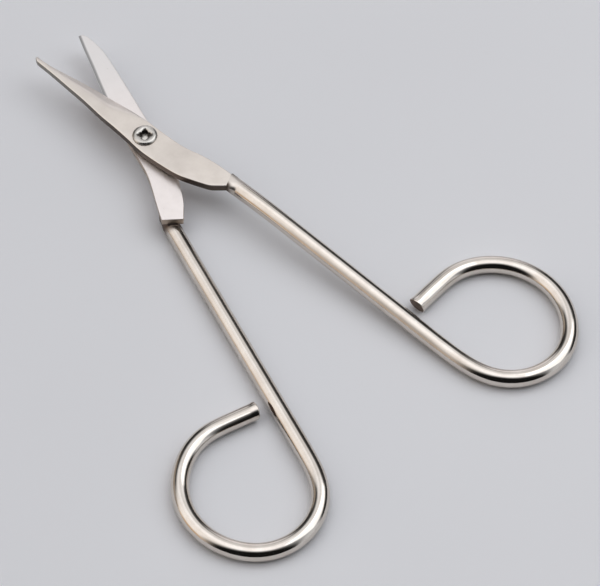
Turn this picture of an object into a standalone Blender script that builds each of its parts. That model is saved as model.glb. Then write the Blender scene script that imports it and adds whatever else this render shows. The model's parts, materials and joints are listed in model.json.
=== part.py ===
"""Wire-handled scissors, lying open on a flat surface.

Two ground plate blades are joined by a tubular rivet, and each blade's tang is welded to a
handle bent from one length of round wire. The front limb lies on top of the rear limb.

Limb coordinates: u runs from the pivot along the shank towards the finger ring, v runs from
the pivot towards the side that the ring lies on, and w is the height from the plane in which
the two blades meet to the limb's outer face. The rear limb is turned half round about u.
Units are metres, +Z is up, and the origin is the middle of the footprint, on the surface.
"""

import math
from collections import namedtuple

import bmesh
import bpy
from mathutils import Matrix, Vector

MM = 0.001
BladeForm = namedtuple(
    "BladeForm",
    "reach tip_length spine_shares edge_shares tang_outer_margin outer_shares inner_shares tang_set",
)

# Handle wire
wire_diameter = 3.175 * MM
wire_end_chamfer = 0.3 * MM
shank_offset = 3.18 * MM
shank_reach = 73.2 * MM
heel_bend_radius = 16.7 * MM
heel_bend_angle = math.radians(15.9)
side_bend_radius = 10.9 * MM
side_bend_angle = math.radians(108.8)
crown_bend_radius = 13.3 * MM
crown_bend_angle = math.radians(109.0)
return_bend_radius = 11.5 * MM
return_bend_angle = math.radians(36.0)
tail_length = 7.4 * MM
lap_length = 3.5 * MM
drop_clear_length = 5.0 * MM
drop_bend_length = 6.0 * MM

# Blade plates
blade_thickness = 1.5 * MM
tip_thickness = 1.3 * MM
spine_width = 2.87 * MM
edge_width = 2.8 * MM
front_blade_reach = 28.65 * MM
rear_blade_reach = 29.15 * MM
front_tip_length = 1.1 * MM
rear_tip_length = 1.2 * MM
tip_width = 0.45 * MM
bevel_line_offset = 0.05 * MM
bevel_land = 0.25 * MM
bevel_start = 1.0 * MM
bevel_run_out = 10.0 * MM
rim_chamfer = 0.15 * MM
tang_reach = 18.4 * MM
tang_inner_margin = 0.25 * MM
front_tang_outer_margin = -0.82 * MM
rear_tang_outer_margin = 0.13 * MM
tang_end_slant = math.radians(24.0)
front_tang_set = 0.35 * MM
tang_set_start = 3.0 * MM
tang_set_length = 9.0 * MM

# Pivot rivet
rivet_shank_radius = 1.45 * MM
rivet_mouth_radius = 1.12 * MM
rivet_floor_radius = 0.9 * MM
rivet_hollow_depth = 1.45 * MM
rivet_rim_radius = 2.2 * MM
rivet_rim_height = 0.55 * MM
rivet_head_radius = 2.35 * MM
rivet_head_height = 0.8 * MM
rivet_head_edge = 0.25 * MM
petal_notch = 0.24 * MM
petal_count = 4
petal_turn = math.radians(52.6)

# Fits and the resting pose
seat_depth = 0.3 * MM
weld_gap = 0.3 * MM
blade_gap = 0.3 * MM
rivet_gap = 0.3 * MM
rivet_hole_clearance = 0.08 * MM
cut_overrun = 1.0 * MM
opening_angle = math.radians(21.2)

# Outline shares: place along the blade, then width as a share of the width at the pivot
front_spine_shares = (
    (0.00, 1.00), (0.08, 0.90), (0.20, 0.79), (0.32, 0.71), (0.44, 0.57), (0.54, 0.46),
    (0.65, 0.38), (0.76, 0.29), (0.88, 0.21), (1.00, 0.16),
)
front_edge_shares = (
    (0.00, 1.00), (0.12, 1.03), (0.23, 1.07), (0.33, 1.05), (0.42, 0.97), (0.53, 0.87),
    (0.64, 0.74), (0.75, 0.57), (0.85, 0.42), (0.93, 0.33), (1.00, 0.28),
)
rear_spine_shares = (
    (0.00, 1.00), (0.08, 0.88), (0.18, 0.84), (0.50, 0.83), (0.70, 0.79), (0.79, 0.74),
    (0.85, 0.65), (0.92, 0.47), (0.96, 0.34), (1.00, 0.22),
)
rear_edge_shares = (
    (0.00, 1.00), (0.20, 1.00), (0.35, 0.93), (0.47, 0.81), (0.61, 0.66), (0.70, 0.55),
    (0.79, 0.46), (0.88, 0.37), (1.00, 0.22),
)
# Outline shares: place along the tang, then progress from the pivot's width to the tang's end
front_outer_shares = (
    (0.00, 0.00), (0.34, 0.02), (0.47, 0.22), (0.58, 0.55), (0.71, 0.83), (0.84, 0.98),
    (1.00, 1.00),
)
rear_outer_shares = (
    (0.00, 0.00), (0.32, 0.00), (0.46, 0.13), (0.59, 0.34), (0.72, 0.57), (0.86, 0.80),
    (1.00, 1.00),
)
front_inner_shares = (
    (0.00, 0.00), (0.10, -0.04), (0.22, -0.04), (0.44, 0.01), (0.54, 0.08), (0.64, 0.22),
    (0.74, 0.38), (0.84, 0.55), (0.93, 0.80), (1.00, 1.00),
)
rear_inner_shares = (
    (0.00, 0.00), (0.12, -0.03), (0.25, 0.00), (0.38, 0.10), (0.48, 0.23), (0.57, 0.34),
    (0.76, 0.57), (0.88, 0.78), (1.00, 1.00),
)
level_face_share = 0.24
bevel_most_share = 0.66

wire_sides = 16
round_sides = 48
bend_step = math.radians(5.0)
drop_bend_steps = 6
tip_stations = 7
blade_stations = 24
tang_stations = 22
rim_steps = 8

# Sizes that follow
wire_radius = wire_diameter / 2
mate_height = wire_diameter - seat_depth + weld_gap + blade_thickness + blade_gap / 2
half_opening = opening_angle / 2
blade_bottom = blade_gap / 2
blade_top = blade_bottom + blade_thickness
ring_bends = (
    (heel_bend_radius, heel_bend_angle),
    (side_bend_radius, side_bend_angle),
    (crown_bend_radius, crown_bend_angle),
    (return_bend_radius, return_bend_angle),
)


def clear_scene():
    for thing in list(bpy.data.objects):
        bpy.data.objects.remove(thing, do_unlink=True)


def metal(name, colour, roughness):
    material = bpy.data.materials.new(name)
    material.use_nodes = True
    shader = material.node_tree.nodes["Principled BSDF"]
    shader.inputs["Base Color"].default_value = (*colour, 1.0)
    shader.inputs["Metallic"].default_value = 1.0
    shader.inputs["Roughness"].default_value = roughness
    return material


def smooth_curve(points, place):
    """Read a smooth curve through (place, value) points, flat in slope past its ends."""
    last = len(points) - 1
    if place <= points[0][0]:
        return points[0][1]
    if place >= points[last][0]:
        return points[last][1]
    index = next(i for i in range(last) if place <= points[i + 1][0])
    slopes = []
    for i in (index, index + 1):
        before = points[max(i - 1, 0)]
        after = points[min(i + 1, last)]
        slopes.append((after[1] - before[1]) / (after[0] - before[0]))
    start, end = points[index], points[index + 1]
    span = end[0] - start[0]
    t = (place - start[0]) / span
    return (
        (2 * t ** 3 - 3 * t ** 2 + 1) * start[1]
        + (t ** 3 - 2 * t ** 2 + t) * span * slopes[0]
        + (3 * t ** 2 - 2 * t ** 3) * end[1]
        + (t ** 3 - t ** 2) * span * slopes[1]
    )


def ease(t):
    t = min(max(t, 0.0), 1.0)
    return t * t * (3 - 2 * t)


def make_object(name, mesh_builder, material, parent):
    mesh = bpy.data.meshes.new(name)
    bmesh.ops.recalc_face_normals(mesh_builder, faces=mesh_builder.faces)
    mesh_builder.to_mesh(mesh)
    mesh_builder.free()
    mesh.materials.append(material)
    thing = bpy.data.objects.new(name, mesh)
    bpy.context.collection.objects.link(thing)
    thing.parent = parent
    return thing


def shade_round(thing, sharp_angle):
    thing.data.shade_smooth()
    thing.data.set_sharp_from_angle(angle=sharp_angle)


def cut_with(thing, cutter):
    cutter.hide_render = True
    cutter.display_type = "WIRE"
    modifier = thing.modifiers.new(cutter.name, "BOOLEAN")
    modifier.operation = "DIFFERENCE"
    modifier.object = cutter


def loft(rings):
    """Skin a row of closed outlines, each with the same number of points, and cap both ends."""
    shape = bmesh.new()
    rows = [[shape.verts.new(point) for point in ring] for ring in rings]
    count = len(rows[0])
    for row, following in zip(rows, rows[1:]):
        for i in range(count):
            j = (i + 1) % count
            shape.faces.new((row[i], row[j], following[j], following[i]))
    shape.faces.new(rows[0])
    shape.faces.new(rows[-1])
    return shape


def box_cutter(name, corner_low, corner_high, turn_angle, centre, parent):
    """A box between two corners, turned about w, with its own zero at a centre point."""
    shape = bmesh.new()
    bmesh.ops.create_cube(shape, size=1.0)
    low, high = Vector(corner_low), Vector(corner_high)
    span = high - low
    for vert in shape.verts:
        vert.co = Vector(a * b for a, b in zip(vert.co, span)) + (low + high) / 2
    cutter = make_object(name, shape, tool_material, parent)
    cutter.matrix_local = Matrix.Translation(centre) @ Matrix.Rotation(turn_angle, 4, "Z")
    return cutter


# Wire handles

def shank_drop(place, start, start_height, ring_height):
    """Height of the wire's centre along the shank: level, a straight slope, then level."""
    slope_start = start + drop_clear_length
    slope_end = shank_reach
    run = slope_end - slope_start
    blend = min(drop_bend_length, run / 3)
    rise = ring_height - start_height
    gradient = rise / (run - blend)
    along = min(max(place - slope_start, 0.0), run)
    if along < blend:
        return start_height + gradient * along ** 2 / (2 * blend)
    if along > run - blend:
        return ring_height - gradient * (run - along) ** 2 / (2 * blend)
    return start_height + gradient * (along - blend / 2)


def handle_path(start_height, ring_height):
    """Centre line of one handle in limb coordinates, from its welded end to its free end."""
    places = [tang_reach - lap_length, tang_reach]
    slope_start = tang_reach + drop_clear_length
    for edge in (slope_start, shank_reach - drop_bend_length):
        for step in range(drop_bend_steps + 1):
            places.append(edge + drop_bend_length * step / drop_bend_steps)
    path = [
        Vector((u, shank_offset, shank_drop(u, tang_reach, start_height, ring_height)))
        for u in places
    ]
    heading = 0.0
    here = path[-1]
    for radius, angle in ring_bends:
        centre = here + radius * Vector((-math.sin(heading), math.cos(heading), 0.0))
        steps = max(2, round(angle / bend_step))
        for step in range(1, steps + 1):
            direction = heading + angle * step / steps
            arm = Vector((math.sin(direction), -math.cos(direction), 0.0))
            path.append(centre + radius * arm)
        heading += angle
        here = path[-1]
    path.append(here + tail_length * Vector((math.cos(heading), math.sin(heading), 0.0)))
    return path


def wire_rings(path):
    """Cross-sections along a path, with a flat of the wire facing down and one facing up."""
    last = len(path) - 1
    tangents = []
    for i in range(len(path)):
        tangents.append((path[min(i + 1, last)] - path[max(i - 1, 0)]).normalized())
    corner_radius = wire_radius / math.cos(math.pi / wire_sides)
    inner_radius = corner_radius - wire_end_chamfer
    stations = [(path[0], tangents[0], inner_radius)]
    stations.append((path[0] + tangents[0] * wire_end_chamfer, tangents[0], corner_radius))
    for i in range(1, last):
        stations.append((path[i], tangents[i], corner_radius))
    stations.append((path[last] - tangents[last] * wire_end_chamfer, tangents[last], corner_radius))
    stations.append((path[last], tangents[last], inner_radius))
    rings = []
    for centre, tangent, radius in stations:
        side = Vector((0, 0, 1)).cross(tangent).normalized()
        up = tangent.cross(side)
        ring = []
        for k in range(wire_sides):
            angle = 2 * math.pi * (k + 0.5) / wire_sides
            ring.append(centre + radius * (math.sin(angle) * side + math.cos(angle) * up))
        rings.append(ring)
    return rings


def handle(name, parent, start_height, ring_height, seat_height):
    """One bent wire handle, with a flat ground at its end for the tang to sit in."""
    path = handle_path(start_height, ring_height)
    thing = make_object(name, loft(wire_rings(path)), handle_material, parent)
    shade_round(thing, math.radians(40))
    reach = lap_length + wire_diameter + cut_overrun
    cutter = box_cutter(
        name + "_seat_cutter",
        (-reach, -wire_diameter, min(seat_height, seat_height + seat_side(parent))),
        (weld_gap, wire_diameter, max(seat_height, seat_height + seat_side(parent))),
        tang_end_slant,
        Vector((tang_reach, shank_offset, 0.0)),
        parent,
    )
    cut_with(thing, cutter)
    return thing


def seat_side(parent):
    """The tang lies above the wire's flat on the front limb, in w, and below it on the rear."""
    away = wire_diameter + cut_overrun
    return away if parent is front_limb else -away


# Blades

def tip_round(place, reach, tip_length):
    """Share of the spine's width left at a place near the tip, a quarter of an ellipse."""
    into = (place - (reach - tip_length)) / tip_length
    if into <= 0:
        return 1.0
    return math.sqrt(max(0.0, 1.0 - into ** 2))


def blade_section(place, form):
    """One cross-section of the blade side, at a distance from the pivot towards the tip."""
    share = place / form.reach
    edge = edge_width * smooth_curve(form.edge_shares, share)
    spine = spine_width * smooth_curve(form.spine_shares, share)
    left = tip_round(place, form.reach, form.tip_length)
    spine = edge - tip_width - (edge - tip_width + spine) * left
    thickness = blade_thickness + (tip_thickness - blade_thickness) * ease_line(share)
    ground = ease((place - bevel_start) / bevel_run_out)
    bevel = rim_chamfer + (edge + bevel_line_offset - rim_chamfer) * ground
    bevel = min(bevel, (edge - spine) * bevel_most_share)
    land = thickness - rim_chamfer + (bevel_land - thickness + rim_chamfer) * ground
    return section_points(-place, 0.0, blade_bottom, spine, edge, thickness, bevel, land)


def ease_line(share):
    """The outer face stays level round the pivot and then falls evenly to the tip."""
    return max(0.0, (share - level_face_share) / (1 - level_face_share))


def tang_section(share, form):
    """One cross-section of the tang, at a share of the way from the pivot to the tang's end."""
    outer_end = shank_offset + wire_radius + form.tang_outer_margin
    inner_end = shank_offset - wire_radius - tang_inner_margin
    outer = edge_width + (outer_end - edge_width) * smooth_curve(form.outer_shares, share)
    inner = -spine_width + (inner_end + spine_width) * smooth_curve(form.inner_shares, share)
    slope = -math.tan(tang_end_slant) * ease(share)
    base = blade_bottom + form.tang_set * ease(
        (tang_reach * share - tang_set_start) / tang_set_length)
    land = blade_thickness - rim_chamfer
    return section_points(
        tang_reach * share, slope, base, inner, outer, blade_thickness, rim_chamfer, land)


def section_points(u, slope, base, inner, outer, thickness, bevel, land):
    """Outline of a section: flat meeting face, ground or broken edge, outer face, broken rim."""
    corners = (
        (inner, 0.0),
        (outer, 0.0),
        (outer, land),
        (outer - bevel, thickness),
        (inner + rim_chamfer, thickness),
        (inner, thickness - rim_chamfer),
    )
    return [Vector((u + slope * (v - shank_offset), v, base + w)) for v, w in corners]


def blade_sections(form):
    sections = []
    for step in range(tip_stations):
        quarter = math.pi / 2 * (1 - step / tip_stations)
        place = form.reach - form.tip_length + form.tip_length * math.sin(quarter)
        sections.append(blade_section(place, form))
    for step in range(blade_stations):
        place = (form.reach - form.tip_length) * (1 - step / blade_stations)
        sections.append(blade_section(place, form))
    for step in range(tang_stations + 1):
        sections.append(tang_section(step / tang_stations, form))
    return sections


def blade(name, parent, form):
    thing = make_object(name, loft(blade_sections(form)), blade_material, parent)
    shade_round(thing, math.radians(25))
    hole = bmesh.new()
    bmesh.ops.create_cone(
        hole, cap_ends=True, segments=round_sides,
        radius1=rivet_shank_radius + rivet_hole_clearance,
        radius2=rivet_shank_radius + rivet_hole_clearance,
        depth=2 * (blade_top + cut_overrun),
    )
    cut_with(thing, make_object(name + "_hole_cutter", hole, tool_material, parent))
    return thing


# Pivot rivet

def rivet_profile():
    """Half section of the rivet as (radius, height, notch share), from the hollow to the head."""
    rim_base = blade_top + rivet_gap
    floor = rim_base + rivet_rim_height - rivet_hollow_depth
    head_top = -(blade_top + rivet_gap)
    head_bottom = head_top - rivet_head_height
    middle = (rivet_mouth_radius + rivet_rim_radius) / 2
    half_span = (rivet_rim_radius - rivet_mouth_radius) / 2
    profile = [(rivet_floor_radius, floor, 1.0)]
    for step in range(rim_steps + 1):
        angle = math.pi * (1 - step / rim_steps)
        radius = middle + half_span * math.cos(angle)
        height = rim_base + rivet_rim_height * math.sin(angle)
        profile.append((radius, height, ease((1 - math.cos(angle)) / 2)))
    profile += [
        (rivet_shank_radius, rim_base, 0.0),
        (rivet_shank_radius, head_top, 0.0),
        (rivet_head_radius, head_top, 0.0),
        (rivet_head_radius, head_bottom + rivet_head_edge, 0.0),
        (rivet_head_radius - rivet_head_edge, head_bottom, 0.0),
    ]
    return profile


def rivet():
    """Tubular rivet, clinched over the front blade by a punch that notches its mouth."""
    rings = []
    for radius, height, notch_share in rivet_profile():
        ring = []
        for side in range(round_sides):
            angle = 2 * math.pi * side / round_sides + petal_turn
            notch = petal_notch * notch_share * math.cos(petal_count * (angle - petal_turn))
            reach = radius + notch
            ring.append(Vector((reach * math.cos(angle), reach * math.sin(angle), height)))
        rings.append(ring)
    thing = make_object("pivot_rivet", loft(rings), rivet_material, pivot)
    shade_round(thing, math.radians(40))
    return thing


# Placing

def empty(name, location, rotation):
    thing = bpy.data.objects.new(name, None)
    thing.empty_display_size = spine_width
    thing.location = location
    thing.rotation_euler = rotation
    bpy.context.collection.objects.link(thing)
    return thing


def pivot_place():
    """Distance of the pivot ahead of the middle of the footprint."""
    path = handle_path(0.0, 0.0)
    behind = max(
        point.x * math.cos(half_opening) - point.y * math.sin(half_opening) for point in path)
    behind += wire_radius / math.cos(math.pi / wire_sides)
    ahead = 0.0
    for form in (front_form, rear_form):
        for point in blade_sections(form)[0]:
            forward = -point.x * math.cos(half_opening) + point.y * math.sin(half_opening)
            ahead = max(ahead, forward)
    return (behind - ahead) / 2


clear_scene()
blade_material = metal("satin_plate", (0.76, 0.73, 0.70), 0.34)
handle_material = metal("polished_wire", (0.80, 0.77, 0.73), 0.14)
rivet_material = metal("rivet_steel", (0.70, 0.67, 0.63), 0.26)
tool_material = metal("cutter", (0.5, 0.5, 0.5), 0.5)

front_form = BladeForm(
    front_blade_reach, front_tip_length, front_spine_shares, front_edge_shares,
    front_tang_outer_margin, front_outer_shares, front_inner_shares, front_tang_set,
)
rear_form = BladeForm(
    rear_blade_reach, rear_tip_length, rear_spine_shares, rear_edge_shares,
    rear_tang_outer_margin, rear_outer_shares, rear_inner_shares, 0.0,
)
pivot_location = (0.0, pivot_place(), mate_height)
pivot = empty("pivot", pivot_location, (0.0, 0.0, 0.0))
front_limb = empty("front_limb", pivot_location, (0.0, 0.0, -math.pi / 2 + half_opening))
rear_limb = empty("rear_limb", pivot_location, (math.pi, 0.0, -math.pi / 2 - half_opening))

blade("front_blade", front_limb, front_form)
blade("rear_blade", rear_limb, rear_form)
handle(
    "front_handle", front_limb,
    blade_top + front_tang_set - wire_radius, wire_radius - mate_height,
    blade_bottom + front_tang_set - weld_gap,
)
handle(
    "rear_handle", rear_limb,
    mate_height - wire_radius, mate_height - wire_radius, blade_top + weld_gap,
)
rivet()
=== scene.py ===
import json
import math

import bmesh
import bpy
from mathutils import Matrix, Vector


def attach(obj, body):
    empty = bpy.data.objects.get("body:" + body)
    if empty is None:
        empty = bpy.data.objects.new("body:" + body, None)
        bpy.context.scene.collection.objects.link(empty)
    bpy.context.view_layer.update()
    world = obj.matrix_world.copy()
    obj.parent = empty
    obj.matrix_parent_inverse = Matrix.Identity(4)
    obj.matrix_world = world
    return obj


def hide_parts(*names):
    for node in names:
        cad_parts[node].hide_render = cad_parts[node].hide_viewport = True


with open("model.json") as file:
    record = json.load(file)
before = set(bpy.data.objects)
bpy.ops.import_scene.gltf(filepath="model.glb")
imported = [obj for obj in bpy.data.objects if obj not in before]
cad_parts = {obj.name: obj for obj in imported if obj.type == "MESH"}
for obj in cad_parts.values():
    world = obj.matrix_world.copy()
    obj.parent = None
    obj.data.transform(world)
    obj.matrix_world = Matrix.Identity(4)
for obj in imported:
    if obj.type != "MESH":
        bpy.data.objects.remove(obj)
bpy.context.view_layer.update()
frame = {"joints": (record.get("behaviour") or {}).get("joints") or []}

# The scissors are dressed piece by piece, in limb coordinates: u runs from the pivot along the
# shank towards the finger ring, v towards the side that the ring lies on, and w from the plane
# in which the blades meet to the limb's outer face. The rear limb is turned half round about u.
# Each tang is welded to its wire here, so the clearances of the solids are closed.

MM = 0.001

# Camera, as it stood round the scissors
frame_width_px = 600
picture_gamma = 0.85
focal_length_px = 2322.5
sensor_width = 36.0
camera_distance = 415.72 * MM
camera_elevation = math.radians(55.458)
camera_azimuth = math.radians(-37.41)
camera_roll = math.radians(-0.231)
camera_aim = Vector((3.866, -14.483, 0.0)) * MM
camera_clip_start = 10 * MM

# Handle wire. Each bend of the finger ring has a radius and an angle.
wire_radius = 1.5875 * MM
wire_end_round = 0.22 * MM
wire_end_lip = 0.07 * MM
wire_end_lip_length = 1.1 * MM
wire_end_shear = math.tan(math.radians(11))
wire_end_shear_length = 4.0 * MM
shank_offset = 3.18 * MM
shank_reach = 73.2 * MM
ring_bends = (
    (16.7 * MM, math.radians(15.9)),
    (10.9 * MM, math.radians(108.8)),
    (13.3 * MM, math.radians(109.0)),
    (11.5 * MM, math.radians(36.0)),
)
tail_length = 7.4 * MM
lap_length = 3.5 * MM
drop_clear_length = 5.0 * MM
drop_bend_length = 6.0 * MM
shank_step = 0.9 * MM
bend_step = math.radians(2.0)
path_smoothing_passes = 24
wire_sides = 72
wire_sharp_angle = math.radians(35)
end_steps = 6

# Welds between tang and wire. A flush weld has no painted shade near the wire's crest, where the
# cosine of the angle from it is past the weld line. The other wire has a flat pad on its crest
# instead.
collar_length = 2.6 * MM
collar_stations = 16
collar_blur_sides = 2
collar_blur_reach = 3 * collar_blur_sides
fillet_radius = 0.3 * MM
fillet_start_share = 0.375
pad_half_angle = math.radians(24)
pad_fade_angle = math.radians(16)
pad_most_share = 1.2
lap_margin = 0.16 * MM
lap_narrowest_share = 0.4
# Length over which the weld's painted shade fades
weld_shade_length = 1.7 * MM
weld_dressed_length = 5.5 * MM
weld_line = 0.93
weld_line_fade = 0.2

# Blade plates
blade_thickness = 1.5 * MM
tip_thickness = 1.3 * MM
spine_width = 2.87 * MM
edge_width = 2.8 * MM
tip_width = 0.45 * MM
bevel_line_offset = 0.05 * MM
bevel_land = 0.12 * MM
bevel_start = 1.0 * MM
bevel_run_out = 10.0 * MM
bevel_crest_share = 0.55
bevel_most_share = 0.66
level_face_share = 0.24
rim_round = 0.17 * MM
lower_rim_round = 0.06 * MM
edge_inset = 0.012 * MM
edge_rise = 0.018 * MM
hone_width = 0.64 * MM
hone_drop = 0.035 * MM
blade_gap = 0.3 * MM
tang_reach = 18.4 * MM
tang_inner_margin = 0.25 * MM
tang_end_slant = math.radians(24.0)
tang_end_round = 0.12 * MM
tang_set_start = 3.0 * MM
tang_set_length = 9.0 * MM
tip_stations = 14
blade_stations = 96
tang_stations = 72
plate_sharp_angle = math.radians(35)

# Steps round a plate's outline, and how far its marks reach
meeting_face_steps = 9
hone_steps = 4
bevel_steps = 16
outer_face_steps = 8
rim_steps = 6
side_steps = 3
# How far the side's painted shade reaches round the lower rim
lower_rim_marks = (1.0, 0.8, 0.4, 0.0)
reach_mark_start = 2.0 * MM
reach_mark_length = 22.0 * MM
end_mark_start = 1 / 3

# Each blade's own form. Spine and edge are shares of the width at the pivot, by the share of the
# way to the tip. Outer and inner say how far the tang's two long edges have come from the pivot
# plate's sides to their ends beside the wire, by the share of the way to the tang's end. Set is
# how far the tang is bent outwards, and the outer margin how far its end reaches past the wire.
front_form = {
    "reach": 28.65 * MM,
    "tip_length": 1.1 * MM,
    "tip_end_round": 0.32 * MM,
    "outer_margin": -0.82 * MM,
    "set": 0.35 * MM,
    "spine_shares": (
        (0.00, 1.00), (0.08, 0.90), (0.20, 0.79), (0.32, 0.71), (0.44, 0.57), (0.54, 0.46),
        (0.65, 0.38), (0.76, 0.29), (0.88, 0.21), (1.00, 0.16),
    ),
    "edge_shares": (
        (0.00, 1.00), (0.12, 1.03), (0.23, 1.07), (0.33, 1.05), (0.42, 0.97), (0.53, 0.87),
        (0.64, 0.74), (0.75, 0.57), (0.85, 0.42), (0.93, 0.33), (1.00, 0.28),
    ),
    "outer_shares": (
        (0.00, 0.00), (0.34, 0.02), (0.47, 0.22), (0.58, 0.55), (0.71, 0.83), (0.84, 0.98),
        (1.00, 1.00),
    ),
    "inner_shares": (
        (0.00, 0.00), (0.10, -0.04), (0.22, -0.04), (0.44, 0.01), (0.54, 0.08), (0.64, 0.22),
        (0.74, 0.38), (0.84, 0.55), (0.93, 0.80), (1.00, 1.00),
    ),
}
rear_form = {
    "reach": 29.15 * MM,
    "tip_length": 1.2 * MM,
    "tip_end_round": 0.12 * MM,
    "outer_margin": 0.13 * MM,
    "set": 0.0,
    "spine_shares": (
        (0.00, 1.00), (0.08, 0.88), (0.18, 0.84), (0.50, 0.83), (0.70, 0.79), (0.79, 0.74),
        (0.85, 0.65), (0.92, 0.47), (0.96, 0.34), (1.00, 0.22),
    ),
    "edge_shares": (
        (0.00, 1.00), (0.20, 1.00), (0.35, 0.93), (0.47, 0.81), (0.61, 0.66), (0.70, 0.55),
        (0.79, 0.46), (0.88, 0.37), (1.00, 0.22),
    ),
    "outer_shares": (
        (0.00, 0.00), (0.32, 0.00), (0.46, 0.13), (0.59, 0.34), (0.72, 0.57), (0.86, 0.80),
        (1.00, 1.00),
    ),
    "inner_shares": (
        (0.00, 0.00), (0.12, -0.03), (0.25, 0.00), (0.38, 0.10), (0.48, 0.23), (0.57, 0.34),
        (0.76, 0.57), (0.88, 0.78), (1.00, 1.00),
    ),
}

# Pivot rivet
rivet_shank_radius = 1.45 * MM
rivet_hole_radius = 1.53 * MM
rivet_mouth_radius = 0.96 * MM
rivet_floor_radius = 0.9 * MM
rivet_floor_shares = (0.02, 0.3, 0.6, 0.92)
rivet_floor_dome = 0.04 * MM
rivet_wall_foot = 0.004 * MM
rivet_wall_steps = 5
rivet_hollow_depth = 1.15 * MM
rivet_rim_radius = 2.32 * MM
rivet_rim_height = 0.56 * MM
rivet_rim_fullness = 2.15
rivet_rim_steps = 20
# Painted shade down the rim's inner slope, a little over the whole rim, and round its foot
rivet_rim_stain = 0.26
rivet_foot_height = 0.46 * MM
rivet_foot_shade = 0.6
rivet_head_radius = 2.35 * MM
rivet_head_height = 0.95 * MM
rivet_head_edge = 0.35 * MM
rivet_head_crown = 0.12 * MM
rivet_head_shares = (0.7, 0.4, 0.1)
petal_notch = 0.17 * MM
petal_count = 4
petal_turn = math.radians(52.6)
rivet_sides = 144
rivet_sharp_angle = math.radians(50)

# Ground plates: scales of noise per metre, depths of relief, and how strongly each mark shows
grain_length = 12.0
grain_scale = 9000
grain_depth = 0.004 * MM
grain_roughness = 0.05
plate_cloud_scale = 420
plate_cloud_roughness = 0.1
fine_scale = 3200
fine_depth = 0.003 * MM
# The honed strip is painted dark grey, a band of painted shade along the cutting edge
hone_shade_strength = 0.85
hone_shade_colour = (0.30, 0.30, 0.30)
# The bevel is painted lighter towards the edge, a painted sheen
bevel_sheen_strength = 0.6
bevel_sheen_colour = (0.94, 0.89, 0.85)
# The plates' cut sides are painted dark as painted shade, turning to another shade towards the tip
side_shade_strength = 0.9
tip_side_shade_colour = (0.28, 0.27, 0.245)
# The rounded rims are painted lighter, a painted highlight
rim_strength = 0.6
rim_colour = (0.90, 0.86, 0.81)
# In each look, the side colour is painted shade on the plate's cut sides
outer_look = {
    "light": (0.82, 0.765, 0.71),
    "dark": (0.75, 0.695, 0.64),
    "tip": (0.76, 0.72, 0.68),
    "tip_strength": 0.35,
    "side": (0.075, 0.050, 0.036),
    "roughness": 0.33,
}
meeting_look = {
    "light": (0.94, 0.885, 0.86),
    "dark": (0.88, 0.825, 0.80),
    "tip": (0.80, 0.785, 0.775),
    "tip_strength": 0.75,
    "side": (0.54, 0.45, 0.365),
    "roughness": 0.30,
}

# Plated wire, its weld brushed and given painted shade. The drawing lines are as long as their length
# in metres and as wide as a share of the wire's girth.
wire_line_length = 0.02
wire_line_width = 0.03
wire_line_scale = 1.0
wire_line_depth = 0.0012 * MM
wire_haze_scale = 260
wire_haze_roughness = (0.09, 0.15)
wire_wave_scale = 240
wire_wave_depth = 0.012 * MM
wire_dark = (0.67, 0.615, 0.56)
wire_light = (0.76, 0.715, 0.665)
dressed_colour = (0.75, 0.70, 0.65)
dressed_roughness = 0.3
# The weld is painted dark brown: painted shade round the tang's end
weld_shade_colour = (0.11, 0.075, 0.055)
weld_shade_strength = 0.9
weld_roughness = 0.3

# Sheared wire end
torn_scale = 900
torn_height = 0.4
torn_depth = 0.02 * MM
torn_dark = (0.12, 0.085, 0.07)
torn_light = (0.34, 0.27, 0.22)
torn_roughness = (0.35, 0.6)

# Rivet steel
mottle_scale = 900
mottle_depth = 0.0015 * MM
rivet_dark = (0.70, 0.675, 0.635)
rivet_light = (0.85, 0.82, 0.775)
# Painted shade in the rivet's hollow, round its rim's foot and where it lies under the plates
rivet_shade_colour = (0.03, 0.024, 0.02)
rivet_shade_strength = 0.92
rivet_roughness = (0.24, 0.32)

# Floor
floor_half_size = 1.2
floor_cells = 8
floor_drop = 0.02 * MM
floor_cloud_scale = 9
floor_dark = (0.800, 0.802, 0.822)
floor_light = (0.820, 0.822, 0.842)
floor_roughness = (0.86, 0.92)

# Room: its light by the sine of the elevation, from the horizon to straight up
room_heights = (
    (0.00, (0.02, 0.02, 0.02)), (0.56, (0.10, 0.10, 0.10)), (0.77, (1.06, 1.07, 1.10)),
    (1.00, (1.42, 1.43, 1.47)),
)
# Bearing and elevation of each patch, the angles at which it is full and gone, and its light
room_patches = (
    (255, 16, 16, 34, (0.88, 0.80, 0.73)),
    (255, -4, 12, 24, (0.76, 0.54, 0.34)),
    (300, 5, 10, 24, (0.46, 0.41, 0.36)),
    (265, 42, 14, 34, (1.18, 1.15, 1.13)),
    (55, 57, 9, 28, (1.10, 1.12, 1.16)),
    (0, 18, 9, 24, (1.00, 0.99, 1.02)),
    (0, 50, 6, 18, (0.90, 0.90, 0.91)),
    (107, 42, 18, 36, (0.60, 0.62, 0.65)),
    (110, 8, 13, 27, (0.74, 0.76, 0.79)),
    (180, 20, 34, 63, (0.014, 0.014, 0.014)),
)
plain_room_colour = (0.60, 0.605, 0.63)

# Key light, with its distance and sizes in metres and its power in watts
key_bearing = 78
key_elevation = 52
key_distance = 0.9
key_width = 0.8
key_height = 0.8
key_power = 1.7
key_colour = (0.98, 0.99, 1.0)

# Sizes that follow
pivot_place = Vector(frame["joints"][0]["pos_m"])
opening_angle = math.radians(21.2)
front_turn = -math.pi / 2 + opening_angle / 2
rear_turn = -math.pi / 2 - opening_angle / 2
front_limb = Matrix.Translation(pivot_place) @ Matrix.Rotation(front_turn, 4, "Z")
rear_limb = (
    Matrix.Translation(pivot_place)
    @ Matrix.Rotation(rear_turn, 4, "Z")
    @ Matrix.Rotation(math.pi, 4, "X")
)
blade_bottom = blade_gap / 2
blade_top = blade_bottom + blade_thickness
front_seat = blade_bottom + front_form["set"]
drill_length = 4 * blade_top

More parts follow.
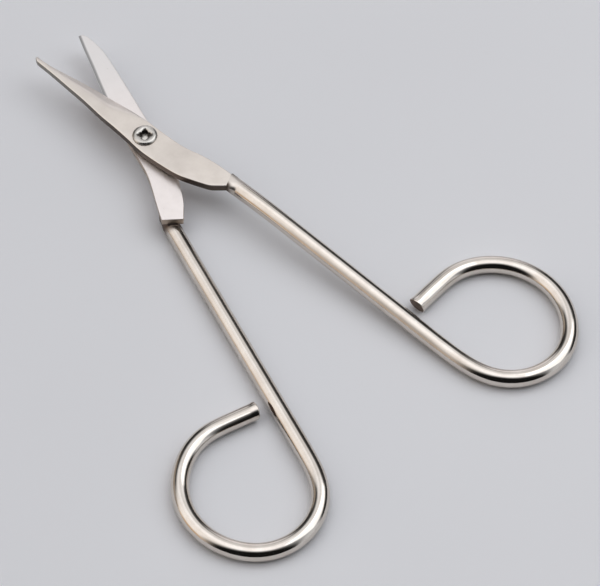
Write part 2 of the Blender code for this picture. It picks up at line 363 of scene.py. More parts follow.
# Heights of each wire's centre, and of its tang's near and far side, in limb coordinates. Facing
# says which way along w the tang lies. The front tang is let into the wire's outer half, flush
# with its crest, and the rear tang lies on the wire's inner side.
front_wire = {
    "flush": True,
    "facing": 1.0,
    "start_height": blade_top + front_form["set"] - wire_radius,
    "ring_height": wire_radius - pivot_place.z,
    "tang_low": front_seat,
    "tang_high": front_seat + blade_thickness,
}
rear_wire = {
    "flush": False,
    "facing": -1.0,
    "start_height": pivot_place.z - wire_radius,
    "ring_height": pivot_place.z - wire_radius,
    "tang_low": blade_top,
    "tang_high": blade_bottom,
}

# Angles round a wire, from the side that faces its tang towards the side that the ring lies on
wire_angles = [2 * math.pi * side / wire_sides for side in range(wire_sides)]


# Curves and skins

def smooth_curve(points, place):
    """Read a smooth curve through (place, value) points, held at its end values past its ends."""
    last = len(points) - 1
    if place <= points[0][0]:
        return points[0][1]
    if place >= points[last][0]:
        return points[last][1]
    index = next(i for i in range(last) if place <= points[i + 1][0])
    slopes = []
    for i in (index, index + 1):
        before = points[max(i - 1, 0)]
        after = points[min(i + 1, last)]
        slopes.append((after[1] - before[1]) / (after[0] - before[0]))
    start, end = points[index], points[index + 1]
    span = end[0] - start[0]
    t = (place - start[0]) / span
    return (
        (2 * t ** 3 - 3 * t ** 2 + 1) * start[1]
        + (t ** 3 - 2 * t ** 2 + t) * span * slopes[0]
        + (3 * t ** 2 - 2 * t ** 3) * end[1]
        + (t ** 3 - t ** 2) * span * slopes[1]
    )


def ease(t):
    """Go softly from 0 to 1 as t does, and stay there outside."""
    t = min(max(t, 0.0), 1.0)
    return t * t * (3 - 2 * t)


def peak(t):
    """Rise from 0 at both ends to 1 halfway."""
    return math.sqrt(1 - abs(2 * t - 1))


def blend(a, b, share):
    """Go from a to b by a share."""
    return a + (b - a) * share


def rounded_stops(depth):
    """Place, from -depth to 0 at the very end, and inset of each section of a rounded edge."""
    turns = [math.pi / 2 * step / end_steps for step in range(end_steps + 1)]
    return [(depth * (math.sin(turn) - 1), depth * (1 - math.cos(turn))) for turn in turns]


def skin(name, rings, place, finishes, sharp_angle, marks, lengths=None, cut_row=math.inf):
    """Skin closed outlines into one closed mesh, with caps, a running UV map and named marks.

    Faces from the cut row on take the second finish."""
    shape = bmesh.new()
    layers = {key: shape.verts.layers.float.new(key) for key in marks}
    uv = shape.loops.layers.uv.new("Run")
    rows = [[shape.verts.new(point) for point in ring] for ring in rings]
    for key, layer in layers.items():
        for row, values in zip(rows, marks[key]):
            for vert, value in zip(row, values):
                vert[layer] = value
    count = len(rows[0])
    for r, (row, following) in enumerate(zip(rows, rows[1:])):
        for i in range(count):
            j = (i + 1) % count
            face = shape.faces.new((row[i], row[j], following[j], following[i]))
            face.smooth = True
            face.material_index = int(r >= cut_row)
            if lengths:
                spots = ((r, i), (r, i + 1), (r + 1, i + 1), (r + 1, i))
                for loop, (a, b) in zip(face.loops, spots):
                    loop[uv].uv = (lengths[a], b / count)
    shape.faces.new(rows[0])
    cap = shape.faces.new(rows[-1])
    cap.material_index = int(len(rows) > cut_row)
    bmesh.ops.recalc_face_normals(shape, faces=shape.faces)
    mesh = bpy.data.meshes.new(name)
    shape.to_mesh(mesh)
    shape.free()
    mesh.transform(place)
    mesh.set_sharp_from_angle(angle=sharp_angle)
    for finish in finishes:
        mesh.materials.append(finish)
    piece = bpy.data.objects.new(name, mesh)
    bpy.context.scene.collection.objects.link(piece)
    return piece


# Wire handles

def tang_edges(share, form):
    """Where the tang's two long edges lie across the limb, at a share of the tang's length."""
    outer_end = shank_offset + wire_radius + form["outer_margin"]
    inner_end = shank_offset - wire_radius - tang_inner_margin
    outer = blend(edge_width, outer_end, smooth_curve(form["outer_shares"], share))
    inner = blend(-spine_width, inner_end, smooth_curve(form["inner_shares"], share))
    return inner, outer


def shank_drop(place, start_height, ring_height):
    """Height of the wire's centre along the shank: level, a straight slope, then level."""
    run = shank_reach - tang_reach - drop_clear_length
    gradient = (ring_height - start_height) / (run - drop_bend_length)
    along = min(max(place - tang_reach - drop_clear_length, 0.0), run)
    if along < drop_bend_length:
        return start_height + gradient * along ** 2 / (2 * drop_bend_length)
    if along > run - drop_bend_length:
        return ring_height - gradient * (run - along) ** 2 / (2 * drop_bend_length)
    return start_height + gradient * (along - drop_bend_length / 2)


def handle_path(start_height, ring_height):
    """Centre line of one handle beyond its weld, with bends that run softly into each other."""
    start = tang_reach + collar_length
    steps = round((shank_reach - start) / shank_step)
    path = []
    for step in range(steps + 1):
        u = start + (shank_reach - start) * step / steps
        path.append(Vector((u, shank_offset, shank_drop(u, start_height, ring_height))))
    heading = 0.0
    here = path[-1]
    for radius, angle in ring_bends:
        centre = here + radius * Vector((-math.sin(heading), math.cos(heading), 0.0))
        steps = round(angle / bend_step)
        for step in range(1, steps + 1):
            direction = heading + angle * step / steps
            arm = Vector((math.sin(direction), -math.cos(direction), 0.0))
            path.append(centre + radius * arm)
        heading += angle
        here = path[-1]
    forward = Vector((math.cos(heading), math.sin(heading), 0.0))
    steps = round(tail_length / shank_step)
    path += [here + tail_length * step / steps * forward for step in range(1, steps + 1)]
    for _ in range(path_smoothing_passes):
        middles = [(a + b) / 2 for a, b in zip(path, path[2:])]
        path[1:-1] = [(point + middle) / 2 for point, middle in zip(path[1:-1], middles)]
    return path


def plate_reach(angle, low, high, inner, outer):
    """Distance from the wire's centre to the far side of the tang's outline, or 0 past it."""
    across, up = math.sin(angle), math.cos(angle)
    if up <= 0:
        return 0.0
    reach = high / up
    if across > 0:
        reach = min(reach, outer / across)
    if across < 0:
        reach = min(reach, inner / across)
    return reach if reach * up >= low else 0.0


def soften(values):
    """Blur a closed row of values over a few neighbours on each side."""
    count = len(values)
    offsets = range(-collar_blur_reach, collar_blur_reach + 1)
    weights = [math.exp(-0.5 * (offset / collar_blur_sides) ** 2) for offset in offsets]
    total = sum(weights)
    return [
        sum(weight * values[(i + offset) % count] for offset, weight in zip(offsets, weights)) / total
        for i in range(count)
    ]


def lap_outlines(wire, form):
    """Radii of the wire round its section under the tang, and just past the tang's end."""
    inner = -wire_radius - tang_inner_margin
    outer = wire_radius + form["outer_margin"]
    low = wire["facing"] * (wire["tang_low"] - wire["start_height"])
    high = wire["facing"] * (wire["tang_high"] - wire["start_height"])
    under, past = [], []
    for angle in wire_angles:
        towards_tang = math.cos(angle)
        flat = low / towards_tang if towards_tang > 0 else math.inf
        if wire["flush"]:
            under.append(min(wire_radius, flat))
            past.append(max(wire_radius, plate_reach(angle, low, high, inner, outer)))
        else:
            off_crest = min(angle, 2 * math.pi - angle)
            pad = 1 - ease((off_crest - pad_half_angle) / pad_fade_angle)
            under.append(blend(wire_radius, min(flat, pad_most_share * wire_radius), pad))
    return (under, soften(past)) if wire["flush"] else (under, under)


def lap_sections(wire, form):
    """The wire's end under its tang, and the weld that runs from the tang's end into the wire.

    Each section is an outline, its place along the wire and its two marks, the weld's painted shade
    and dressed."""
    under, past = lap_outlines(wire, form)
    slope = -math.tan(tang_end_slant)
    sections = []

    def add_section(u, tilt, radii, lift=0.0):
        ring = []
        low_edge, high_edge = tang_edges(min(u / tang_reach, 1.0), form)
        for angle, radius in zip(wire_angles, radii):
            v = radius * math.sin(angle)
            w = radius * math.cos(angle)
            if u < tang_reach:
                widest = max(high_edge - shank_offset - lap_margin, v * lap_narrowest_share)
                v = min(max(v, low_edge - shank_offset + lap_margin), widest)
            if w > 0:
                on_fillet = (w / wire_radius - fillet_start_share) / (1 - fillet_start_share)
                w += lift * ease(on_fillet)
            height = wire["start_height"] + wire["facing"] * w
            ring.append(Vector((u + slope * tilt * v, shank_offset + v, height)))
        # Painted shade round the weld, fading past the tang's end
        painted_shade = 1 - ease((u - tang_reach) / weld_shade_length)
        if wire["flush"]:
            weld_shades = [
                painted_shade * ease((weld_line - math.cos(angle)) / weld_line_fade)
                for angle in wire_angles
            ]
            dressed = 1 - ease((u - tang_reach) / weld_dressed_length)
        else:
            weld_shades = [painted_shade] * wire_sides
            dressed = 0.0
        sections.append((ring, u, weld_shades, [dressed] * wire_sides))

    for back, inset in reversed(rounded_stops(wire_end_round)):
        add_section(tang_reach - lap_length - back, 1.0, [radius - inset for radius in under])
    add_section(tang_reach - wire_end_round, 1.0, under)
    add_section(tang_reach, 1.0, under)
    for step in range(collar_stations + 1):
        share = step / collar_stations
        if wire["flush"]:
            left = 1 - ease(share)
            lift = 0.0
        else:
            left = 1 - min(share * collar_length / fillet_radius, 1.0)
            lift = fillet_radius * (1 - math.sqrt(1 - left ** 2))
        radii = [blend(wire_radius, radius, left) for radius in past]
        add_section(tang_reach + collar_length * share, 1 - share, radii, lift)
    return sections


def wire_sections(wire):
    """The wire beyond its weld, to its sheared and slightly flared end, in the same form."""
    path = handle_path(wire["start_height"], wire["ring_height"])
    last = len(path) - 1
    strides = [(b - a).length for a, b in zip(path, path[1:])]
    run = tang_reach + collar_length
    sections = []
    for i in range(1, last + 1):
        run += strides[i - 1]
        to_end = sum(strides[i:])
        tangent = (path[min(i + 1, last)] - path[i - 1]).normalized()
        side = Vector((0.0, 0.0, 1.0)).cross(tangent).normalized()
        up = tangent.cross(side) * wire["facing"]
        shear = wire_end_shear * ease(1 - to_end / wire_end_shear_length)
        lip = wire_end_lip * ease(1 - to_end / wire_end_lip_length)
        dressed = 1 - ease((run - tang_reach) / weld_dressed_length) if wire["flush"] else 0.0
        stops = rounded_stops(wire_end_round) if i == last else [(0.0, 0.0)]
        for back, inset in stops:
            radius = wire_radius + lip - inset
            centre = path[i] + (back - wire_radius * shear) * tangent + lip * up
            ring = []
            for angle in wire_angles:
                arm = math.sin(angle) * side + math.cos(angle) * (up + shear * tangent)
                ring.append(centre + radius * arm)
            sections.append((ring, run + back, [0.0] * wire_sides, [dressed] * wire_sides))
    return sections


def handle(name, body, place, wire, form, finishes):
    """One bent wire handle, with the weld that its tang runs into."""
    sections = lap_sections(wire, form) + wire_sections(wire)
    rings, lengths, weld_shades, dressed = zip(*sections)
    # The cut's finish begins halfway round the end's edge
    cut_row = len(rings) - 1 - end_steps // 2
    marks = {"weld_shade": weld_shades, "dressed": dressed}
    piece = skin(name, rings, place, finishes, wire_sharp_angle, marks, lengths, cut_row)
    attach(piece, body)
    return piece


# Blades

def tip_round(place, form):
    """Share of the spine's width left at a place near the tip, a quarter of an ellipse."""
    into = (place - (form["reach"] - form["tip_length"])) / form["tip_length"]
    return math.sqrt(max(0.0, 1.0 - max(into, 0.0) ** 2))


def blade_section(place, form):
    """One cross-section of the blade side, at a distance from the pivot towards the tip."""
    share = place / form["reach"]
    edge = edge_width * smooth_curve(form["edge_shares"], share)
    spine = spine_width * smooth_curve(form["spine_shares"], share)
    spine = edge - tip_width - (edge - tip_width + spine) * tip_round(place, form)
    level = max(0.0, (share - level_face_share) / (1 - level_face_share))
    thickness = blend(blade_thickness, tip_thickness, level)
    ground = ease((place - bevel_start) / bevel_run_out)
    bevel = min(
        blend(rim_round, edge + bevel_line_offset, ground),
        (edge - spine) * bevel_most_share,
    )
    land = blend(thickness - rim_round, bevel_land, ground)
    return plate_section(-place, 0.0, blade_bottom, spine, edge, thickness, bevel, land, ground)


def tang_section(share, form):
    """One cross-section of the tang, at a share of the way from the pivot to the tang's end."""
    inner, outer = tang_edges(share, form)
    slope = -math.tan(tang_end_slant) * ease(share)
    place = tang_reach * share
    base = blade_bottom + form["set"] * ease((place - tang_set_start) / tang_set_length)
    land = blade_thickness - rim_round
    return plate_section(
        place, slope, base, inner, outer, blade_thickness, rim_round, land, 0.0)


def corner(centre_v, centre_w, radius, start, steps):
    """Points of a rounded corner, a quarter turn from a start angle in degrees."""
    points = []
    for step in range(steps + 1):
        angle = math.radians(start + 90 * step / steps)
        points.append((centre_v + radius * math.cos(angle), centre_w + radius * math.sin(angle)))
    return points


def bevel_rise(t):
    """Height of the bevel, as a share, on the way from the edge to its softly rounded crest."""
    slope = 1 / (1 - bevel_crest_share / 2)
    into = max(t - (1 - bevel_crest_share), 0.0)
    return slope * (t - into ** 2 / (2 * bevel_crest_share))


def plate_section(u, slope, base, inner, outer, thickness, bevel, land, ground):
    """Outline of a plate: meeting face with its honed strip, edge, bevel, outer face, spine.

    Its marks say where the plate is honed, bevelled, a cut side or a rim, and how far it lies
    towards the tip. The honed strip and cut sides get painted shade, the bevel a painted sheen and
    the rim a painted highlight."""
    strip = hone_width * ground
    drop = hone_drop * ground
    cut = 1 - ground
    reach = ease((-u - reach_mark_start) / reach_mark_length)
    points = []
    marks = {"hone_shade": [], "bevel": [], "side": [], "rim": [], "reach": []}

    def add(v, w, hone_shade=0.0, bevel_sheen=0.0, side=0.0, rim=0.0):
        points.append((v, w))
        for key, value in (("hone_shade", hone_shade), ("bevel", bevel_sheen), ("side", side), ("rim", rim)):
            marks[key].append(value)
        marks["reach"].append(reach)

    face_start = inner + lower_rim_round
    lower = corner(face_start, lower_rim_round, lower_rim_round, 180, len(lower_rim_marks) - 1)
    # The lower rim fades out of the side's painted shade
    for (v, w), side in zip(lower, lower_rim_marks):
        add(v, w, side=side)
    strip_start = outer - max(strip, lower_rim_round)
    for step in range(1, meeting_face_steps):
        add(blend(face_start, strip_start, step / meeting_face_steps), 0.0)
    # The honed strip's mark gives it painted shade
    for step in range(hone_steps + 1):
        t = step / hone_steps
        add(blend(strip_start, outer - edge_inset, t), drop * t, hone_shade=ground * min(1.0, 2 * t))
    add(outer, drop + edge_rise, hone_shade=ground, bevel_sheen=ground, side=cut)
    for step in range(bevel_steps + 1):
        t = step / bevel_steps
        round_v = outer - bevel * (1 - math.cos(math.pi / 2 * t))
        round_w = land + (thickness - land) * math.sin(math.pi / 2 * t)
        flat_v = outer - bevel * t
        flat_w = land + (thickness - land) * bevel_rise(t)
        # The bevel's mark is a painted sheen, strongest towards the edge
        add(
            blend(round_v, flat_v, ground), blend(round_w, flat_w, ground),
            bevel_sheen=ground * (1 - ease(2 * t - 1)), side=cut * (1 - ease(2 * t)),
            rim=cut * peak(t),
        )
    face_end = inner + rim_round
    for step in range(1, outer_face_steps):
        add(blend(outer - bevel, face_end, step / outer_face_steps), thickness)
    # The rounded rim carries a painted highlight, and past its middle the side's painted shade
    for step, (v, w) in enumerate(corner(face_end, thickness - rim_round, rim_round, 90, rim_steps)):
        t = step / rim_steps
        add(v, w, side=ease(2 * t - 1), rim=peak(t))
    # The side face is all in painted shade
    for step in range(1, side_steps):
        add(inner, blend(thickness - rim_round, lower_rim_round, step / side_steps), side=1.0)
    ring = [Vector((u + slope * (v - shank_offset), v, base + w)) for v, w in points]
    return ring, marks


def rounded_end(section, depth, onward):
    """Copies of an end section, each drawn in a little more, that round the end's edges."""
    ring, marks = section
    low_v, high_v = min(p.y for p in ring), max(p.y for p in ring)
    low_w, high_w = min(p.z for p in ring), max(p.z for p in ring)
    made = []
    for step, (back, inset) in enumerate(rounded_stops(depth)[1:], start=1):
        points = []
        for p in ring:
            v = min(max(p.y, low_v + inset), high_v - inset)
            w = min(max(p.z, low_w + inset), high_w - inset)
            points.append(Vector((p.x + onward * (depth + back), v, w)))
        cut = ease((step / end_steps - end_mark_start) / (1 - end_mark_start))
        turned = dict(marks)
        # The end face takes the cut side's painted shade
        turned["side"] = [max(side, cut) for side in marks["side"]]
        # A painted highlight round the end face's edge
        turned["rim"] = [max(rim, 4 * cut * (1 - cut)) * (1 - cut) for rim in marks["rim"]]
        made.append((points, turned))
    return made


def tip_sections(form):
    """The blade's rounded tip, from its very end to where the spine has its full width."""
    end_place = form["reach"] - form["tip_end_round"]
    end = blade_section(end_place, form)
    sections = rounded_end(end, form["tip_end_round"], -1)[::-1] + [end]
    for step in range(1, tip_stations):
        quarter = math.pi / 2 * (1 - step / tip_stations)
        along = form["reach"] - form["tip_length"] * (1 - math.sin(quarter))
        if along < end_place:
            sections.append(blade_section(along, form))
    return sections


def bore(piece, place):
    """Cut the rivet's hole through a blade."""
    drill = bmesh.new()
    bmesh.ops.create_cone(
        drill, cap_ends=True, segments=rivet_sides, radius1=rivet_hole_radius,
        radius2=rivet_hole_radius, depth=drill_length,
    )
    mesh = bpy.data.meshes.new(piece.name + "_drill")
    drill.to_mesh(mesh)
    drill.free()
    cutter = bpy.data.objects.new(piece.name + "_drill", mesh)
    bpy.context.scene.collection.objects.link(cutter)
    cutter.matrix_world = place
    modifier = piece.modifiers.new("rivet_hole", "BOOLEAN")
    modifier.operation = "DIFFERENCE"
    modifier.object = cutter
    bpy.context.view_layer.update()
    evaluated = piece.evaluated_get(bpy.context.evaluated_depsgraph_get())
    bored = bpy.data.meshes.new_from_object(evaluated)
    piece.modifiers.clear()
    piece.data = bored
    bpy.data.objects.remove(cutter, do_unlink=True)


def blade(name, body, place, form, finish, close_end):
    """One ground blade and its tang, bored for the rivet. A closed end is rounded as well."""
    sections = tip_sections(form)
    for step in range(blade_stations):
        along = (form["reach"] - form["tip_length"]) * (1 - step / blade_stations)
        sections.append(blade_section(along, form))
    for step in range(tang_stations + 1):
        sections.append(tang_section(step / tang_stations, form))
    if close_end:
        ring, marks = sections.pop()
        end = ([p - Vector((tang_end_round, 0.0, 0.0)) for p in ring], marks)
        sections += [end] + rounded_end(end, tang_end_round, 1)
    rings = [ring for ring, marks in sections]
    rows = {key: [marks[key] for ring, marks in sections] for key in sections[0][1]}
    piece = skin(name, rings, place, [finish], plate_sharp_angle, rows)
    bore(piece, place)
    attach(piece, body)
    return piece


# Pivot rivet

def rivet_profile():
    """Radius, height, share of the notches and painted shade of each ring, from the hollow to the
    head.
    """
    floor_height = blade_top + rivet_rim_height - rivet_hollow_depth
    head_bottom = -blade_top - rivet_head_height
    middle = (rivet_mouth_radius + rivet_rim_radius) / 2
    half_span = (rivet_rim_radius - rivet_mouth_radius) / 2
    profile = []
    for share in rivet_floor_shares:
        height = floor_height + rivet_floor_dome * (1 - share ** 2)
        profile.append((rivet_floor_radius * share, height, share, 0.0))
    # The hollow's wall is all in painted shade
    for step in range(rivet_wall_steps):
        share = step / rivet_wall_steps
        radius = blend(rivet_floor_radius, rivet_mouth_radius, share ** 2)
        height = blend(floor_height + rivet_wall_foot, blade_top, share)
        profile.append((radius, height, 1.0, 1.0))
    for step in range(rivet_rim_steps + 1):
        angle = math.pi * (1 - step / rivet_rim_steps)
        across = abs(math.cos(angle)) ** (2 / rivet_rim_fullness)
        up = rivet_rim_height * math.sin(angle) ** (2 / rivet_rim_fullness)
        radius = middle + math.copysign(half_span * across, math.cos(angle))
        # Painted shade, darkest at the foot of the rim's inner slope and round its outer foot, and a
        # little over the whole rim
        if angle > math.pi / 2:
            painted_shade = ease(1 - up / rivet_rim_height)
        else:
            painted_shade = rivet_foot_shade * ease(1 - up / rivet_foot_height)
        notched = ease((1 - math.cos(angle)) / 2)
        profile.append((radius, blade_top + up, notched, max(painted_shade, rivet_rim_stain)))
    # The shank and the head's face under the plates are in painted shade
    profile.append((rivet_shank_radius, blade_top, 0.0, 1.0))
    profile.append((rivet_shank_radius, -blade_top, 0.0, 1.0))
    profile.append((rivet_head_radius, -blade_top, 0.0, 1.0))
    for back, inset in rounded_stops(rivet_head_edge):
        profile.append((rivet_head_radius - inset, head_bottom - back, 0.0, 0.0))
    # A crowned middle, with a shallow groove between it and the head's edge
    for share in rivet_head_shares:
        radius = (rivet_head_radius - rivet_head_edge) * share
        profile.append((radius, head_bottom + rivet_head_crown * share ** 2, 0.0, 0.0))
    return profile


def rivet(name, body, finishes):
    """Tubular rivet, clinched over the front blade by a punch that notches its mouth."""
    rings, painted_shades = [], []
    for radius, height, notched, painted_shade in rivet_profile():
        ring = []
        for side in range(rivet_sides):
            angle = 2 * math.pi * side / rivet_sides + petal_turn
            notch = petal_notch * notched * math.cos(petal_count * (angle - petal_turn))
            reach = radius + notch * min(1.0, radius / rivet_floor_radius)
            ring.append(Vector((reach * math.cos(angle), reach * math.sin(angle), height)))
        rings.append(ring)
        painted_shades.append([painted_shade] * rivet_sides)
    place = Matrix.Translation(pivot_place)
    piece = skin(name, rings, place, finishes, rivet_sharp_angle, {"painted_shade": painted_shades})
    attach(piece, body)
    return piece


# Nodes

def add_node(tree, kind, inputs=(), settings=()):
    """A node with its settings made, and each input linked to a socket or set to a value."""
    made = tree.nodes.new("ShaderNode" + kind)
    for key, value in settings:
        setattr(made, key, value)
    for place, value in inputs:
        if isinstance(value, bpy.types.NodeSocket):
            tree.links.new(value, made.inputs[place])
        else:
            made.inputs[place].default_value = value
    return made


def opaque(colour):
    """A colour with the fourth number that a socket wants. A socket stays as it is."""
    return (*colour, 1.0) if isinstance(colour, tuple) else colour


def mix_colours(tree, share, first, second):
    """Second over first, by a share."""
    inputs = ((0, share), (6, opaque(first)), (7, opaque(second)))
    return add_node(tree, "Mix", inputs, (("data_type", "RGBA"),)).outputs[2]


class Finish:
    """A material whose colour, gloss and relief come from nodes."""

    def __init__(self, name, metallic=1.0, turn=0.0):
        self.turn = turn
        self.material = bpy.data.materials.new(name)
        self.material.use_nodes = True
        self.tree = self.material.node_tree
        self.shader = self.tree.nodes["Principled BSDF"]
        self.shader.inputs["Metallic"].default_value = metallic
        self.coordinates = add_node(self.tree, "TexCoord")

    def stretched(self, source, along, across, height):
        """Coordinates drawn out by a length each way, along the limb, across it and upwards."""
        inputs = (
            ("Vector", self.coordinates.outputs[source]),
            ("Rotation", (0.0, 0.0, self.turn)),
            ("Scale", (along, across, height)),
        )
        made = add_node(self.tree, "Mapping", inputs, (("vector_type", "TEXTURE"),))
        return made.outputs["Vector"]

    def even(self):
        """Coordinates that are drawn out nowhere."""
        return self.stretched("Object", 1.0, 1.0, 1.0)

    def noise(self, vector, scale, detail, roughness=0.55):
        """Noise with a number of finer layers, each weaker by the roughness."""
        inputs = (("Vector", vector), ("Scale", scale), ("Detail", detail), ("Roughness", roughness))
        return add_node(self.tree, "TexNoise", inputs).outputs["Fac"]

    def span(self, value, low, high, start=0.3, end=0.7):
        """A number from low to high, as a value goes from start to end."""
        inputs = (
            ("Value", value), ("From Min", start), ("From Max", end), ("To Min", low),
            ("To Max", high),
        )
        return add_node(self.tree, "MapRange", inputs).outputs["Result"]

    def tint(self, value, first, second, start=0.3, end=0.7):
        """A colour between two, as a value goes from start to end."""
        made = add_node(self.tree, "ValToRGB", (("Fac", value),))
        ramp = made.color_ramp.elements
        for stop, place, colour in ((ramp[0], start, first), (ramp[1], end, second)):
            stop.position = place
            stop.color = opaque(colour)
        return made.outputs["Color"]

    def mix(self, share, first, second):
        """Second over first, by a share."""
        return mix_colours(self.tree, share, first, second)

    def maths(self, operation, first, second):
        """One sum of two values."""
        inputs = ((0, first), (1, second))
        return add_node(self.tree, "Math", inputs, (("operation", operation),)).outputs[0]

    def mark(self, name, strength=None):
        """One of the piece's marks, weakened by a strength where one is given."""
        value = add_node(self.tree, "Attribute", (), (("attribute_name", name),)).outputs["Fac"]
        return value if strength is None else self.maths("MULTIPLY", value, strength)

    def relief(self, height, depth, before=None):
        """Relief of a depth, laid over the relief before it."""
        inputs = [("Height", height), ("Distance", depth), ("Strength", 1.0)]
        if before is not None:
            inputs.append(("Normal", before))
        return add_node(self.tree, "Bump", inputs).outputs["Normal"]

    def wear(self, **inputs):
        """Link the shader's inputs, and give the finished material."""
        for key, value in inputs.items():
            self.tree.links.new(value, self.shader.inputs[key.replace("_", " ")])
        return self.material


# Finishes

def satin_plate(name, turn, look):
    """Ground plate: fine grain along the blade and a cloudy sheen, a polished bevel painted lighter
    as a painted sheen, a honed strip and cut sides in painted shade, and a painted highlight along
    the rims.
    """
    finish = Finish(name, turn=turn)
    grain = finish.noise(finish.stretched("Object", grain_length, 1.0, 1.0), grain_scale, detail=4)
    cloud = finish.noise(finish.even(), plate_cloud_scale, detail=4, roughness=0.6)
    fine = finish.noise(finish.even(), fine_scale, detail=2)
    colour = finish.tint(cloud, look["dark"], look["light"])
    colour = finish.mix(finish.mark("reach", look["tip_strength"]), colour, look["tip"])
    # Painted shade on the honed strip
    colour = finish.mix(finish.mark("hone_shade", hone_shade_strength), colour, hone_shade_colour)
    # Painted sheen on the bevel
    colour = finish.mix(finish.mark("bevel", bevel_sheen_strength), colour, bevel_sheen_colour)
    # Painted shade on the cut sides, changing towards the tip
    side_shade_colour = finish.mix(finish.mark("reach"), look["side"], tip_side_shade_colour)
    colour = finish.mix(finish.mark("side", side_shade_strength), colour, side_shade_colour)
    # Painted highlight along the rims
    colour = finish.mix(finish.mark("rim", rim_strength), colour, rim_colour)
    rough = finish.maths(
        "ADD",
        finish.span(grain, -grain_roughness, grain_roughness),
        finish.span(cloud, look["roughness"], look["roughness"] + plate_cloud_roughness),
    )
    normal = finish.relief(grain, grain_depth)
    normal = finish.relief(fine, fine_depth, normal)
    return finish.wear(Base_Color=colour, Roughness=rough, Normal=normal)


def polished_wire():
    """Bright plated wire: faint drawing lines, slight waves, and a haze that comes and goes.

    It is brushed dull where its weld was dressed, and given painted shade along the weld."""
    finish = Finish("polished_wire_finish")
    drawn = finish.stretched("UV", wire_line_length, wire_line_width, 1.0)
    lines = finish.noise(drawn, wire_line_scale, detail=3)
    haze = finish.noise(finish.even(), wire_haze_scale, detail=4, roughness=0.6)
    wave = finish.noise(finish.even(), wire_wave_scale, detail=1)
    colour = finish.tint(haze, wire_dark, wire_light)
    colour = finish.mix(finish.mark("dressed"), colour, dressed_colour)
    # Painted shade along the weld
    colour = finish.mix(finish.mark("weld_shade", weld_shade_strength), colour, weld_shade_colour)
    rough = finish.span(haze, *wire_haze_roughness)
    rough = finish.maths("ADD", rough, finish.mark("dressed", dressed_roughness))
    rough = finish.maths("ADD", rough, finish.mark("weld_shade", weld_roughness))
    normal = finish.relief(wave, wire_wave_depth)
    normal = finish.relief(lines, wire_line_depth, normal)
    return finish.wear(Base_Color=colour, Roughness=rough, Normal=normal)


def sheared_end():
    """The wire's cut end: dull, darker and brownish, with marks of the shear."""
    finish = Finish("sheared_end_finish")
    torn = finish.noise(finish.stretched("Object", 1.0, 1.0, torn_height), torn_scale, detail=4)
    colour = finish.tint(torn, torn_dark, torn_light)
    rough = finish.span(torn, *torn_roughness)
    return finish.wear(Base_Color=colour, Roughness=rough, Normal=finish.relief(torn, torn_depth))


def rivet_steel():
    """Bright rolled rim and hollow floor, with painted shade on the hollow's wall and round the rim's
    foot.
    """
    finish = Finish("rivet_finish")
    mottle = finish.noise(finish.even(), mottle_scale, detail=4)
    colour = finish.tint(mottle, rivet_dark, rivet_light)
    # Painted shade in the hollow and round the rim's foot
    colour = finish.mix(finish.mark("painted_shade", rivet_shade_strength), colour, rivet_shade_colour)
    rough = finish.span(mottle, *rivet_roughness)
    normal = finish.relief(mottle, mottle_depth)
    return finish.wear(Base_Color=colour, Roughness=rough, Normal=normal)


def pale_floor():
    """Matt pale grey sheet with the faintest unevenness."""
    finish = Finish("pale_floor_finish", metallic=0.0)
    cloud = finish.noise(finish.even(), floor_cloud_scale, detail=2)
    colour = finish.tint(cloud, floor_dark, floor_light)
    rough = finish.span(cloud, *floor_roughness)
    return finish.wear(Base_Color=colour, Roughness=rough)


# Stage

def photo_direction(bearing, elevation):
    """A direction in the scene. Bearing 0 is up in the photograph's frame and 90 is right."""
    turn = math.radians(bearing) - camera_azimuth
    rise = math.radians(elevation)
    return Vector((
        math.cos(rise) * math.sin(turn), math.cos(rise) * math.cos(turn), math.sin(rise)))


def key_light():
    """A softbox that faces the middle of the scissors."""
    light = bpy.data.lights.new("key_light", "AREA")
    light.shape = "RECTANGLE"
    light.size = key_width
    light.size_y = key_height
    light.energy = key_power
    light.color = key_colour
    lamp = bpy.data.objects.new("key_light", light)
    bpy.context.scene.collection.objects.link(lamp)
    away = photo_direction(key_bearing, key_elevation)
    lamp.location = camera_aim + away * key_distance
    lamp.rotation_euler = away.to_track_quat("Z", "Y").to_euler()


def studio_room():
    """World light: a ramp by height, then soft round patches of the room over it.

    Past the floor the camera sees a plain pale room instead."""
    world = bpy.data.worlds.new("studio_room")
    world.use_nodes = True
    tree = world.node_tree
    direction = add_node(tree, "TexCoord").outputs["Generated"]
    split = add_node(tree, "SeparateXYZ", ((0, direction),))
    ramp = add_node(tree, "ValToRGB", (("Fac", split.outputs["Z"]),))
    for height, colour in room_heights[1:-1]:
        ramp.color_ramp.elements.new(height)
    for element, (height, colour) in zip(ramp.color_ramp.elements, room_heights):
        element.position = height
        element.color = opaque(colour)
    light = ramp.outputs["Color"]
    for bearing, elevation, full, gone, colour in room_patches:
        inputs = ((0, direction), (1, photo_direction(bearing, elevation)))
        towards = add_node(tree, "VectorMath", inputs, (("operation", "DOT_PRODUCT"),))
        inputs = (
            ("Value", towards.outputs["Value"]),
            ("From Min", math.cos(math.radians(gone))),
            ("From Max", math.cos(math.radians(full))),
        )
        soft = (("interpolation_type", "SMOOTHSTEP"),)
        share = add_node(tree, "MapRange", inputs, soft).outputs["Result"]
        light = mix_colours(tree, share, light, colour)
    seen = add_node(tree, "LightPath").outputs["Is Camera Ray"]
    light = mix_colours(tree, seen, light, plain_room_colour)
    background = tree.nodes["Background"]
    tree.links.new(light, background.inputs["Color"])
    background.inputs["Strength"].default_value = 1.0
    bpy.context.scene.world = world


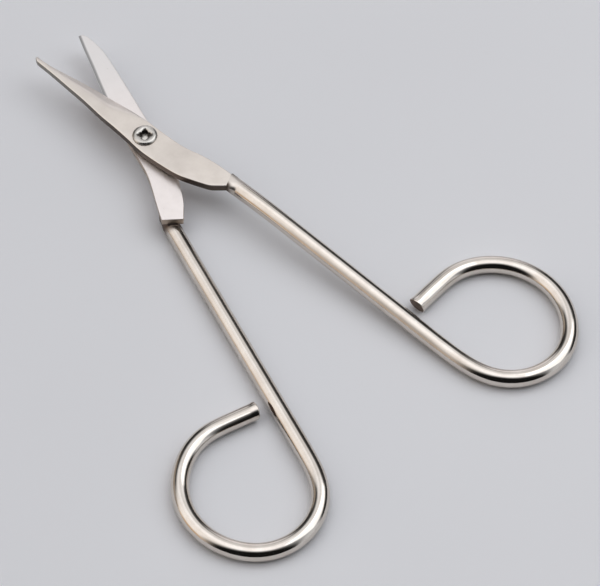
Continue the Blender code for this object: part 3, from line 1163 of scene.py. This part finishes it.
def floor():
    """The pale sheet that the scissors lie on, far wider than the picture."""
    shape = bmesh.new()
    bmesh.ops.create_grid(
        shape, x_segments=floor_cells, y_segments=floor_cells, size=floor_half_size)
    mesh = bpy.data.meshes.new("floor")
    shape.to_mesh(mesh)
    shape.free()
    mesh.materials.append(pale_floor())
    sheet = bpy.data.objects.new("floor", mesh)
    bpy.context.scene.collection.objects.link(sheet)
    sheet.location = (0.0, 0.0, -floor_drop)


def camera():
    """The camera, placed round the point that it is aimed at."""
    away = Vector((
        math.sin(camera_azimuth) * math.cos(camera_elevation),
        -math.cos(camera_azimuth) * math.cos(camera_elevation),
        math.sin(camera_elevation),
    ))
    right = Vector((math.cos(camera_azimuth), math.sin(camera_azimuth), 0.0))
    up = right.cross(-away)
    tilted = math.cos(camera_roll) * right + math.sin(camera_roll) * up
    top = -math.sin(camera_roll) * right + math.cos(camera_roll) * up
    lens = bpy.data.cameras.new("camera")
    lens.sensor_width = sensor_width
    lens.lens = focal_length_px / frame_width_px * sensor_width
    lens.clip_start = camera_clip_start
    eye = bpy.data.objects.new("camera", lens)
    bpy.context.scene.collection.objects.link(eye)
    turned = Matrix((tilted, top, away)).transposed().to_4x4()
    eye.matrix_world = Matrix.Translation(camera_aim + away * camera_distance) @ turned
    bpy.context.scene.camera = eye


# Making

wire_finishes = [polished_wire(), sheared_end()]
outer_plate = satin_plate("outer_plate_finish", front_turn, outer_look)
meeting_plate = satin_plate("meeting_plate_finish", rear_turn, meeting_look)

front_blade = blade("ground_front_blade", "front_limb", front_limb, front_form, outer_plate, False)
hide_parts("front_blade")

rear_blade = blade("ground_rear_blade", "rear_limb", rear_limb, rear_form, meeting_plate, True)
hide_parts("rear_blade")

front_handle = handle(
    "bent_front_handle", "front_limb", front_limb, front_wire, front_form, wire_finishes)
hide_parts("front_handle")

rear_handle = handle(
    "bent_rear_handle", "rear_limb", rear_limb, rear_wire, rear_form, wire_finishes)
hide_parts("rear_handle")

pivot_rivet = rivet("clinched_rivet", "rear_limb", [rivet_steel()])
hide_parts("pivot_rivet")

floor()
camera()
studio_room()
key_light()
bpy.context.scene.view_settings.view_transform = "Standard"
bpy.context.scene.view_settings.gamma = picture_gamma
